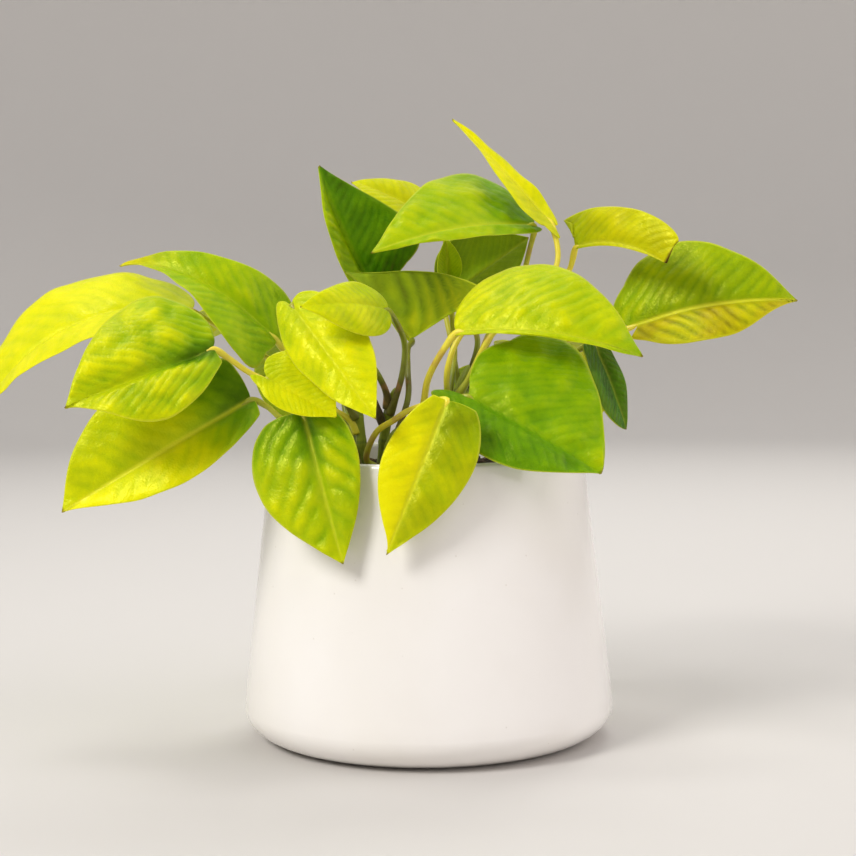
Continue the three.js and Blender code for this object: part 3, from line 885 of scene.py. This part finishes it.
add_leaf(
    "low_left", "front_left", 115, [(-42, -34, 126), (-55, -39, 131), (-61, -38, 136)],
    (-67, -40, 139), (-139, -48, 97), (0.1, -0.85, 0.4), (0.7, 0.4, 0.3, 1.6), (1.25, 0.4, 0.3),
    width=48, droop=10, fold=14, quilt=0.15, tone=(0.08, 0.26), base_tone=0.55, crease_tone=0.1,
    streaks=0.04, patchy=0.1, gold=(0.05, 0.2), rib=1,
)
add_leaf(
    "upper_left", "back_left", 136, [(-39, 9, 148), (-53, 0, 152)], (-60, -5, 162), (-125, 8, 192),
    (-0.1, -0.6, 0.75), (1, -1.2, 0.4, 1.5), (0.8, -0.8, 3),
    width=48, droop=80, bend=1.3, fold=14, slant=1.2, quilt=0.3, tone=0.42, tip_tone=-0.25,
    streaks=0.06, tip_gold=0.8, rib=0.1, stalk_age=0.3,
)
add_leaf(
    "centre_left", "centre", 136, [(-20, -29, 150), (-32, -42, 166)], (-50, -54, 175),
    (-18, -80, 133), (-0.3, -0.8, 0.5), (0.95, 0.2), (0.68, 0.2, 2),
    width=36, droop=30, cup=0.5, quilt=0.08, lumps=0.6, crease=0.5, tone=(0.12, 0.16),
)
add_leaf(
    "under_centre", "front_left", 133, [(-38, -40, 144), (-50, -51, 147)], (-59, -60, 148),
    (-33, -64, 133), (-0.2, -0.8, 0.5), (1.35, 0, 3), (0.55, 0, 4.5),
    width=30, droop=10, cup=0.2, quilt=0.05, crease=0.3, tone=0.12, patchy=0.08, rib=0.1,
    stalk_age=0.4,
)
add_leaf(
    "small_centre", "centre", 134, [(-9, -26, 148), (-8, -30, 159), (-11, -40, 168)], (-14, -56, 173),
    (-45, -78, 174), (0, -0.9, 0.4), (0.95,), (0.8,),
    width=26, droop=50, fold=5, cup=0.3, quilt=0.08, lumps=0.8, crease=0.3, tone=0.2, rib=0,
    stalk_age=0.75, foot_age=0.2,
)
add_leaf(
    "over_rim_left", "front_left", 110, [(-31, -38, 124), (-39, -48, 133)], (-46, -56, 134),
    (-31, -70, 79), (-0.2, -0.9, 0.3), (0.8, 0, 0.6), (1.2, 0, 0.6),
    width=42, fold=8, cup=0.2, veins=0.17, slant=0.8, quilt=0.6, lumps=0.6, crease=1.6,
    tone=(0.38, 0.36), base_tone=0.3, tip_tone=-0.08, crease_tone=0.25, streaks=0.14, patchy=0.14,
    gold=0.2, rib=0.5,
)
add_leaf(
    "over_rim_right", "front_right", 108,
    [(-23, -39, 115), (-19, -45, 126), (-12, -50, 131), (-6, -56, 135)], (8, -66, 139),
    (-15, -75, 83), (0.1, -0.9, 0.35), (1, 0, 0.2), (0.8, 0.5, 0, 2),
    width=38, fold=12, cup=0.2, quilt=0.1, lumps=0.6, crease=0.5, tone=(0.36, 0.02), base_tone=0.22,
    gold=(0.45, 0.4), rib=0.5, stalk_age=0, foot_age=0.55,
)
add_leaf(
    "low_right", "front_right", 112, [(-2, -39, 127), (7, -42, 136)], (16, -48, 140), (65, -64, 111),
    (0.1, -0.82, 0.56), (1.65, -0.35, 2.5, 0.75), (0.75, 0, 5),
    width=54, droop=15, cup=0.2, quilt=0.1, lumps=1.2, crease=0.8, tone=(0.56, 0.72), base_tone=-0.06,
    tip_tone=-0.12, patchy=0.14, rib=0,
)
add_leaf(
    "right", "front_right", 120, [(-2, -29, 133), (1, -29, 146), (7, -31, 157)], (12, -33, 164),
    (82, -52, 154), (0.1, -0.8, 0.55), (1.55,), (0.12, 0.8),
    width=46, droop=55, fold=5, cup=0.2, quilt=0.4, lumps=1, crease=0.8, tone=0.3, base_tone=-0.1,
    tip_tone=0.14, streaks=0.06, patchy=0.14, stalk_radius=1.5, stalk_age=-0.3, foot_age=0.1,
)
add_leaf(
    "behind_right", "right", 116, [(30, 6, 134), (54, 8, 151)], (70, 10, 158), (82, 4, 123),
    (0.5, -0.5, 0.2), (0.5,), (1, 0.5, 1, 0.7),
    width=30, fold=14, quilt=0.3, lumps=0.8, tone=0.92, streaks=0.03, gold=0.05, rib=0.2,
)
add_leaf(
    "far_right", "right", 124, [(28, 16, 148), (50, 20, 158), (71, 20, 161)], (85, 15, 165),
    (151, 0, 175), (0.1, -0.75, 0.5), (1.35, 0, 2.4), (0.85, 0.6, -1, 2.2),
    width=46, droop=50, fold=14, tone=(0.5, 0.42), base_tone=0, streaks=(0.08, 0.35),
    gold=(0.3, 0.95), rib=1, stalk_age=0.1,
)
add_leaf(
    "upper_right", "right", 130, [(9, 2, 149), (16, 4, 164), (40, 13, 178), (59, 19, 187)],
    (62, 14, 198), (95, -16, 190), (-0.5, -0.8, 0.1), (0.68, 0, 3, 0.1), (0.08,),
    width=44, sweep=45, fold=5, cup=0.2, quilt=0.15, lumps=0.5, crease=0.3, tone=0.25, base_tone=0.2,
    streaks=0.03, patchy=0.15, gold=0.6, rib=0.6, stalk_age=-0.1, foot_age=0.7,
)
add_leaf(
    "upright", "right", 140, [(27, 3, 162), (46, 2, 178), (54, 3, 192)], (52, 6, 208), (12, 16, 251),
    (0.4, -0.5, 0.4), (0.66, -0.7, 3), (0.3,),
    width=34, droop=14, fold=14, quilt=0.1, lumps=0.3, tone=0.06, streaks=0.03, patchy=0.1, gold=0.3,
    rib=0.6, stalk_age=-0.1, foot_age=0.7,
)
add_leaf(
    "crown", "right", 143, [(28, 14, 163), (39, 15, 182), (43, 13, 196)], (45, 8, 207),
    (-21, -24, 195), (-0.1, -0.8, 0.6), (0.3,), (1.5, -0.35),
    width=46, droop=40, fold=5, cup=0.2, quilt=0.2, lumps=1, crease=0.5, tone=0.4, base_tone=0.25,
    streaks=0.05, patchy=0.14, gold=(0.1, 0.12), rib=0.5, stalk_age=0.3, foot_age=0.7,
)
# Its right half is painted darker as shade, for it turns away from the light.
add_leaf(
    "dark_upper", "back_left", 142, [(-27, 20, 158), (-23, 24, 172)], (-22, 27, 184), (-43, 21, 233),
    (0.3, -0.9, 0.3), (0.5, -0.5), (1.3, -0.6),
    width=44, droop=15, sweep=20, fold=24, lumps=0.7, crease=1.5, tone=(0.4, 0.76), tip_tone=0.2,
    streaks=0.06, patchy=0.14, rib=0,
)
add_leaf(
    "behind_crown", "back", 136, [(12, 34, 154), (8, 42, 178), (9, 43, 196)], (9, 40, 207),
    (-31, 44, 228), (0, -0.6, 0.8), (), (),
    width=30, droop=40, fold=8, cup=0.2, quilt=0.2, lumps=0.5, tone=0.26, patchy=0.08, gold=0.5,
    stalk_age=0.3,
)
add_leaf(
    "inner", "front_right", 118, [(-7, -25, 138), (-7, -20, 149), (-7, -5, 157)], (-5, 8, 161),
    (-33, 14, 189), (0.2, 0.7, 0.5), (1.85, -1.4, 0, 1.4), (0.2,),
    width=44, droop=10, sweep=30, fold=12, veins=0.3, slant=0.7, quilt=0.9, tone=(0.74, 0.7),
    base_tone=-0.3, tip_tone=0.2, streaks=0.5, gold=0.3, stalk_age=0.85, foot_age=0.1,
)
# Its tone is painted darker as shade, for the spear sits deep in the plant.
add_leaf(
    "new", "right", 134, [(12, 14, 154), (11, 15, 172)], (10, 14, 185), (9, 10, 202),
    (0.2, -0.9, 0.3), (), (),
    width=12, droop=10, fold=30, quilt=0.05, lumps=0.1, wave=0.3, crease=0.3, tone=0.4, streaks=0.05,
    patchy=0.1, gold=0.2, stalk_age=0.4,
)
add_leaf(
    "inner_back", "back", 142, [(22, 30, 160), (16, 34, 173)], (11, 38, 180), (44, 32, 203),
    (0.2, 0.6, 0.7), (), (),
    width=40, quilt=0.4, tone=0.7, streaks=0.05, patchy=0.1, gold=0.15,
)
add_leaf(
    "back_left", "back_left", 129, [(-37, 20, 150), (-44, 27, 164)], (-52, 34, 172), (-104, 82, 156),
    (-0.3, 0.3, 0.9), (), (),
    width=52, droop=60, cup=0.15, quilt=0.4, lumps=0.7, tone=(0.3, 0.22), streaks=0.1, stalk_age=0.25,
)
add_leaf(
    "back_centre", "back_left", 115, [(-29, 21, 137), (-37, 37, 154)], (-43, 50, 160), (-62, 96, 114),
    (-0.2, 0.6, 0.7), (), (),
    width=52, droop=50, cup=0.15, quilt=0.5, lumps=0.8, crease=1.4, tone=(0.45, 0.55), streaks=0.1,
    patchy=0.14, stalk_age=0.25,
)
add_leaf(
    "back_right", "back", 126, [(27, 37, 144), (37, 44, 155)], (44, 50, 158), (80, 98, 122),
    (0.3, 0.4, 0.8), (), (),
    width=54, droop=55, cup=0.15, quilt=0.3, lumps=0.6, tone=(0.12, 0.2), streaks=0.06,
    stalk_age=0.25,
)
add_leaf(
    "back_low", "back", 116, [(19, 44, 134), (26, 58, 144)], (34, 68, 146), (32, 106, 94),
    (0.1, 0.8, 0.5), (), (),
    width=52, droop=45, cup=0.15, veins=0.11, quilt=0.5, lumps=0.9, tone=(0.5, 0.35), streaks=0.1,
    patchy=0.14, gold=(0.2, 0.15), stalk_age=0.25,
)
add_leaf(
    "back_high", "back", 146, [(28, 44, 164), (35, 55, 178)], (42, 60, 186), (62, 112, 166),
    (0.2, 0.3, 0.9), (), (),
    width=50, droop=55, cup=0.15, quilt=0.2, lumps=0.5, tone=0.08, streaks=0.03, patchy=0.1, gold=0.2,
    stalk_age=0.25,
)
print(len(LEAVES), "leaves")

# %% [markdown]
# ## Leaf blade material
# A blade is a waxy skin over green cells. One ramp goes from neon yellow through lime to
# dark green, another from gold to olive, and the gold stored on the points mixes them.
# Both are driven by the ripeness and painted shade stored on the points, a little
# cloudiness, and the veins, which are thin darker lines. The midrib and the margin hold
# less green, and the very tip is scorched. From below a leaf is matter and duller.
# Subsurface scattering makes light shine through it, the same all over.

# %% Leaf blade material
BLADE_COLOURS = [
    (0.00, (0.82, 0.79, 0.001)),
    (0.14, (0.65, 0.70, 0.001)),
    (0.30, (0.44, 0.56, 0.001)),
    (0.48, (0.26, 0.45, 0.001)),
    (0.66, (0.125, 0.32, 0.001)),
    (0.84, (0.042, 0.195, 0.001)),
    (1.00, (0.016, 0.095, 0.002)),
]
GOLD_COLOURS = [
    (0.00, (0.76, 0.68, 0.002)),
    (0.25, (0.60, 0.50, 0.002)),
    (0.60, (0.32, 0.25, 0.002)),
    (1.00, (0.10, 0.08, 0.002)),
]
MARGIN_COLOUR = (0.78, 0.78, 0.06, 1)
RIB_COLOUR = (0.80, 0.78, 0.05, 1)
UNDER_COLOUR = (0.36, 0.42, 0.02, 1)
SCORCH_COLOUR = (0.12, 0.055, 0.012, 1)
VEIN_WIDTH = 0.34
VEIN_TONE = 0.035
VEIN_TONE_UNDER = -3.5
VEIN_GROOVE = -0.35

veins, veins_in, veins_out = new_group("Side Veins", {"Row": 0, "Width": 0.1}, ["Line"])
vein_gap = calc(veins, "PINGPONG", veins_in["Row"], 0.5)
vein_near = calc(veins, "DIVIDE", vein_gap, veins_in["Width"], clamp=True)
feed(veins, veins_out["Line"], fade(veins, vein_near, 0, 1, 1, 0))

blade_skin, tree, shader = new_material("blade_skin")
across = read(tree, "across")
under = read(tree, "under")
line = use_group(tree, veins, Row=read(tree, "vein_row"), Width=VEIN_WIDTH)["Line"]
cloud = use_group(tree, mottle, Size_mm=14, Detail=2)["Mask"]
fleck = use_group(tree, mottle, Size_mm=2.2, Detail=3)["Mask"]
line_tone = fade(tree, across, 0.7, 0.98, VEIN_TONE, 0)
line_sign = calc(tree, "MULTIPLY_ADD", under, VEIN_TONE_UNDER, 1)
line_tone = calc(tree, "MULTIPLY", line, calc(tree, "MULTIPLY", line_tone, line_sign))
# The stored value holds painted shade and painted light as well as the blade's own colour.
ripe = calc(tree, "ADD", read(tree, "ripe"), line_tone)
ripe = drift(tree, ripe, cloud, 0.3)
ripe = drift(tree, ripe, fleck, 0.16)
gold = calc(tree, "MULTIPLY", read(tree, "gold"), fade(tree, cloud, 0.3, 0.7, 0.6, 1))
colour = mix_colour(tree, gold, ramp(tree, ripe, BLADE_COLOURS), ramp(tree, ripe, GOLD_COLOURS))
for share, tint in (
    (fade(tree, across, 0.955, 0.995, 0, 0.4), MARGIN_COLOUR),
    (calc(tree, "MULTIPLY", read(tree, "rib"), 0.6), RIB_COLOUR),
    (calc(tree, "MULTIPLY", under, 0.3), UNDER_COLOUR),
    (read(tree, "scorch"), SCORCH_COLOUR),
):
    colour = mix_colour(tree, share, colour, tint)
feed(tree, shader.inputs["Base Color"], colour)

gloss = fade(tree, fleck, 0.3, 0.7, 0.29, 0.42)
feed(tree, shader.inputs["Roughness"], calc(tree, "MULTIPLY_ADD", under, 0.22, gloss))
cells = use_group(tree, grain, Size_mm=0.8)["Height"]
height = calc(tree, "MULTIPLY_ADD", cells, 0.5, fleck)
height = calc(tree, "MULTIPLY_ADD", line, VEIN_GROOVE, height)
add_bump(tree, shader, height, strength=0.8, depth=0.2)
set_values(
    shader,
    Subsurface_Weight=0.4,
    Subsurface_Radius=(1.0, 0.9, 0.05),
    Subsurface_Scale=0.9 * MM,
    Specular_Tint=(1.0, 0.97, 0.14, 1),
)
print("blade colours from", BLADE_COLOURS[0][1], "to", BLADE_COLOURS[-1][1])

# %% [markdown]
# ## Building the blades
# Each blade is a closed thin solid: an upper face with its valleys and puffs, a lower
# face where the midrib stands out as a keel, and a soft edge that joins the two. The
# upper face is moved along its own normals, so the relief stands square on a folded leaf.

# %% Building the blades
def sheet_faces(grid):
    """A face for each cell of a grid of point numbers."""
    corners = (grid[:-1, :-1], grid[1:, :-1], grid[1:, 1:], grid[:-1, 1:])
    return np.stack(corners, axis=-1).reshape(-1, 4).tolist()


def blade_faces(rows, columns):
    """Faces of two stacked grids, upper and lower, joined along their edges."""
    upper, lower = np.arange(2 * rows * columns).reshape(2, rows, columns)
    faces = sheet_faces(upper) + sheet_faces(lower.T)
    for edge in (np.s_[0], np.s_[-1, ::-1], np.s_[::-1, 0], np.s_[:, -1]):
        faces += sheet_faces(np.stack([upper[edge], lower[edge]], axis=1))
    return faces


def build_blade(name, leaf):
    """The mesh of a blade, painted and put in its place; returns the piece."""
    middle, along, lateral, across, arc = blade_grid(leaf)
    normals = unit(np.cross(np.gradient(middle, axis=0), np.gradient(middle, axis=1)))
    if normals.reshape(-1, 3).dot(blade_axes(leaf)[2][2]).mean() < 0:
        normals = -normals
    vein_row = vein_rows(leaf, middle, along, lateral)
    relief, sag, channel, shade = blade_relief(leaf, middle, along, lateral, across, arc, vein_row)
    distance = np.abs(lateral) * arc
    inner_along = np.clip(along, 0, 1)
    half_thick = (BLADE_THICKNESS + (MARGIN_THICKNESS - BLADE_THICKNESS) * across**2) / 2
    keel = MIDRIB_KEEL * bell(distance, 0.9) * (1 - 0.75 * inner_along)
    centre = middle - 0.4 * normals
    upper = centre + normals * (sag + relief - channel + half_thick)[..., None]
    lower = centre + normals * (sag + 0.8 * relief - keel - half_thick)[..., None]
    rows, columns = distance.shape
    points = np.vstack([upper.reshape(-1, 3), lower.reshape(-1, 3)])
    blade = make_object("blade_" + name, points, blade_faces(rows, columns), blade_skin)
    offset = lateral * arc
    # Painted shade in the crease along the midrib, towards the base of the blade.
    crease = bell(offset, 4) * (1 - smooth_step(along, 0.1, 0.6))
    ripe = by_half(leaf["tone"], offset) + shade + leaf["crease_tone"] * crease
    # Painted shade towards the base of the blade; a negative value paints light there instead.
    ripe += leaf["base_tone"] * (1 - smooth_step(along, 0, 0.4))
    ripe += leaf["tip_tone"] * smooth_step(along, 0.7, 1)
    gold = by_half(leaf["gold"], offset) + leaf["tip_gold"] * smooth_step(along, 0.6, 0.95)
    values = {
        "vein_row": vein_row,
        "across": across,
        "ripe": ripe,
        "gold": gold,
        "rib": leaf["rib"] * bell(distance, 0.9 - 0.5 * inner_along),
        "scorch": smooth_step(along, 0.975, 1),
    }
    for label, value in values.items():
        paint(blade, label, np.concatenate([value.ravel(), value.ravel()]))
    paint(blade, "under", np.repeat([0, 1], rows * columns))
    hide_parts("leaf_" + name)
    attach(blade, "root")
    return blade


blades = [build_blade(name, leaf) for name, leaf in LEAVES.items()]
print(len(blades), "blades,", sum(len(blade.data.polygons) for blade in blades), "faces")

# %% [markdown]
# ## Leaf stalks
# A stalk clasps the vine with a broad, slightly sheathing foot, narrows to a slender
# grooved rod, and swells a little just under the blade, where a living leaf turns to the
# light. The groove runs along its upper side. Its skin is pale yellow-green, and blushes
# faintly pink in places.

# %% Leaf stalks
STALK_SIDES = 18
STALK_RINGS = 80
STALK_TAPER = 0.1
FOOT_SWELLING = 0.75
KNEE_SWELLING = 0.28
GROOVE_DEPTH = 0.16
UNDER_BLADE = 0.9
BLUSH_COLOUR = (0.60, 0.28, 0.12, 1)
STALK_COLOURS = [
    (0.0, (0.86, 0.74, 0.05)),
    (0.35, (0.52, 0.52, 0.03)),
    (0.7, (0.25, 0.30, 0.02)),
    (1.0, (0.13, 0.10, 0.025)),
]

stalk_skin, tree, shader = new_material("stalk_skin")
cloud = use_group(tree, mottle, Size_mm=9, Detail=2)["Mask"]
age = drift(tree, read(tree, "age"), cloud, 0.5)
blush = fade(tree, cloud, 0.56, 0.72, 0, 0.5)
colour = mix_colour(tree, blush, ramp(tree, age, STALK_COLOURS), BLUSH_COLOUR)
feed(tree, shader.inputs["Base Color"], colour)
fine = use_group(tree, mottle, Size_mm=1.2, Detail=3)["Mask"]
add_bump(tree, shader, fine, strength=0.5, depth=0.1)
set_values(
    shader,
    Roughness=0.4,
    Subsurface_Weight=0.3,
    Subsurface_Radius=(1.0, 0.8, 0.1),
    Subsurface_Scale=1 * MM,
)


def vine_at(vine, height):
    """The place and direction of a vine at a height."""
    line = smooth_line(VINES[vine], 200)
    i = int(np.argmin(np.abs(line[:, 2] - height)))
    i = min(max(i, 1), len(line) - 2)
    return line[i], unit(line[i + 1] - line[i - 1])


def stalk_line(leaf):
    """From beside the vine, through the leaf's own points, to under its midrib."""
    place, direction = vine_at(leaf["vine"], leaf["joint"])
    away = np.array(leaf["stalk"][0], float) - place
    away = unit(away - away.dot(direction) * direction)
    foot = place + away * 1.2 - direction * 2
    leave = place + away * 3.4 + direction * 3.5
    base, length, axes = blade_axes(leaf)
    rib = midrib(leaf, length)[0]
    top = base - UNDER_BLADE * axes[2]
    end = top + along_midrib(rib, np.array(0.05)) @ axes
    return smooth_line([foot, leave, *leaf["stalk"], top, end], STALK_RINGS)


def build_stalk(name, leaf):
    """A stalk from its vine to the underside of its blade."""
    line = stalk_line(leaf)
    share = np.linspace(0, 1, STALK_RINGS)
    length = np.linalg.norm(np.diff(line, axis=0), axis=1).sum()
    from_foot = share * length
    to_top = (1 - share) * length
    radius = leaf["stalk_radius"] * (1 - STALK_TAPER * share)
    radius += FOOT_SWELLING * bell(from_foot, 5) + KNEE_SWELLING * bell(to_top - 6, 3.2)
    radius *= 0.35 + 0.65 * smooth_step(to_top, 0, 3)
    angles = circle_angles(STALK_SIDES)
    groove = 1 - GROOVE_DEPTH * bell(np.minimum(angles, 2 * math.pi - angles), 0.5)
    tube = skin_tube(line, (0, 0.1, 1), radius[:, None] * groove[None, :])
    stalk = make_object("stalk_" + name, *tube, stalk_skin)
    # Darker towards the foot: partly older skin, partly painted shade deep in the plant.
    age = leaf["stalk_age"] + leaf["foot_age"] * (1 - smooth_step(from_foot, 3, 30))
    paint(stalk, "age", [*np.repeat(age, STALK_SIDES), age[0], age[-1]])
    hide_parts("petiole_" + name)
    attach(stalk, "root")
    return stalk


stalks = [build_stalk(name, leaf) for name, leaf in LEAVES.items()]
print(len(stalks), "stalks,", sum(len(stalk.data.polygons) for stalk in stalks), "faces")
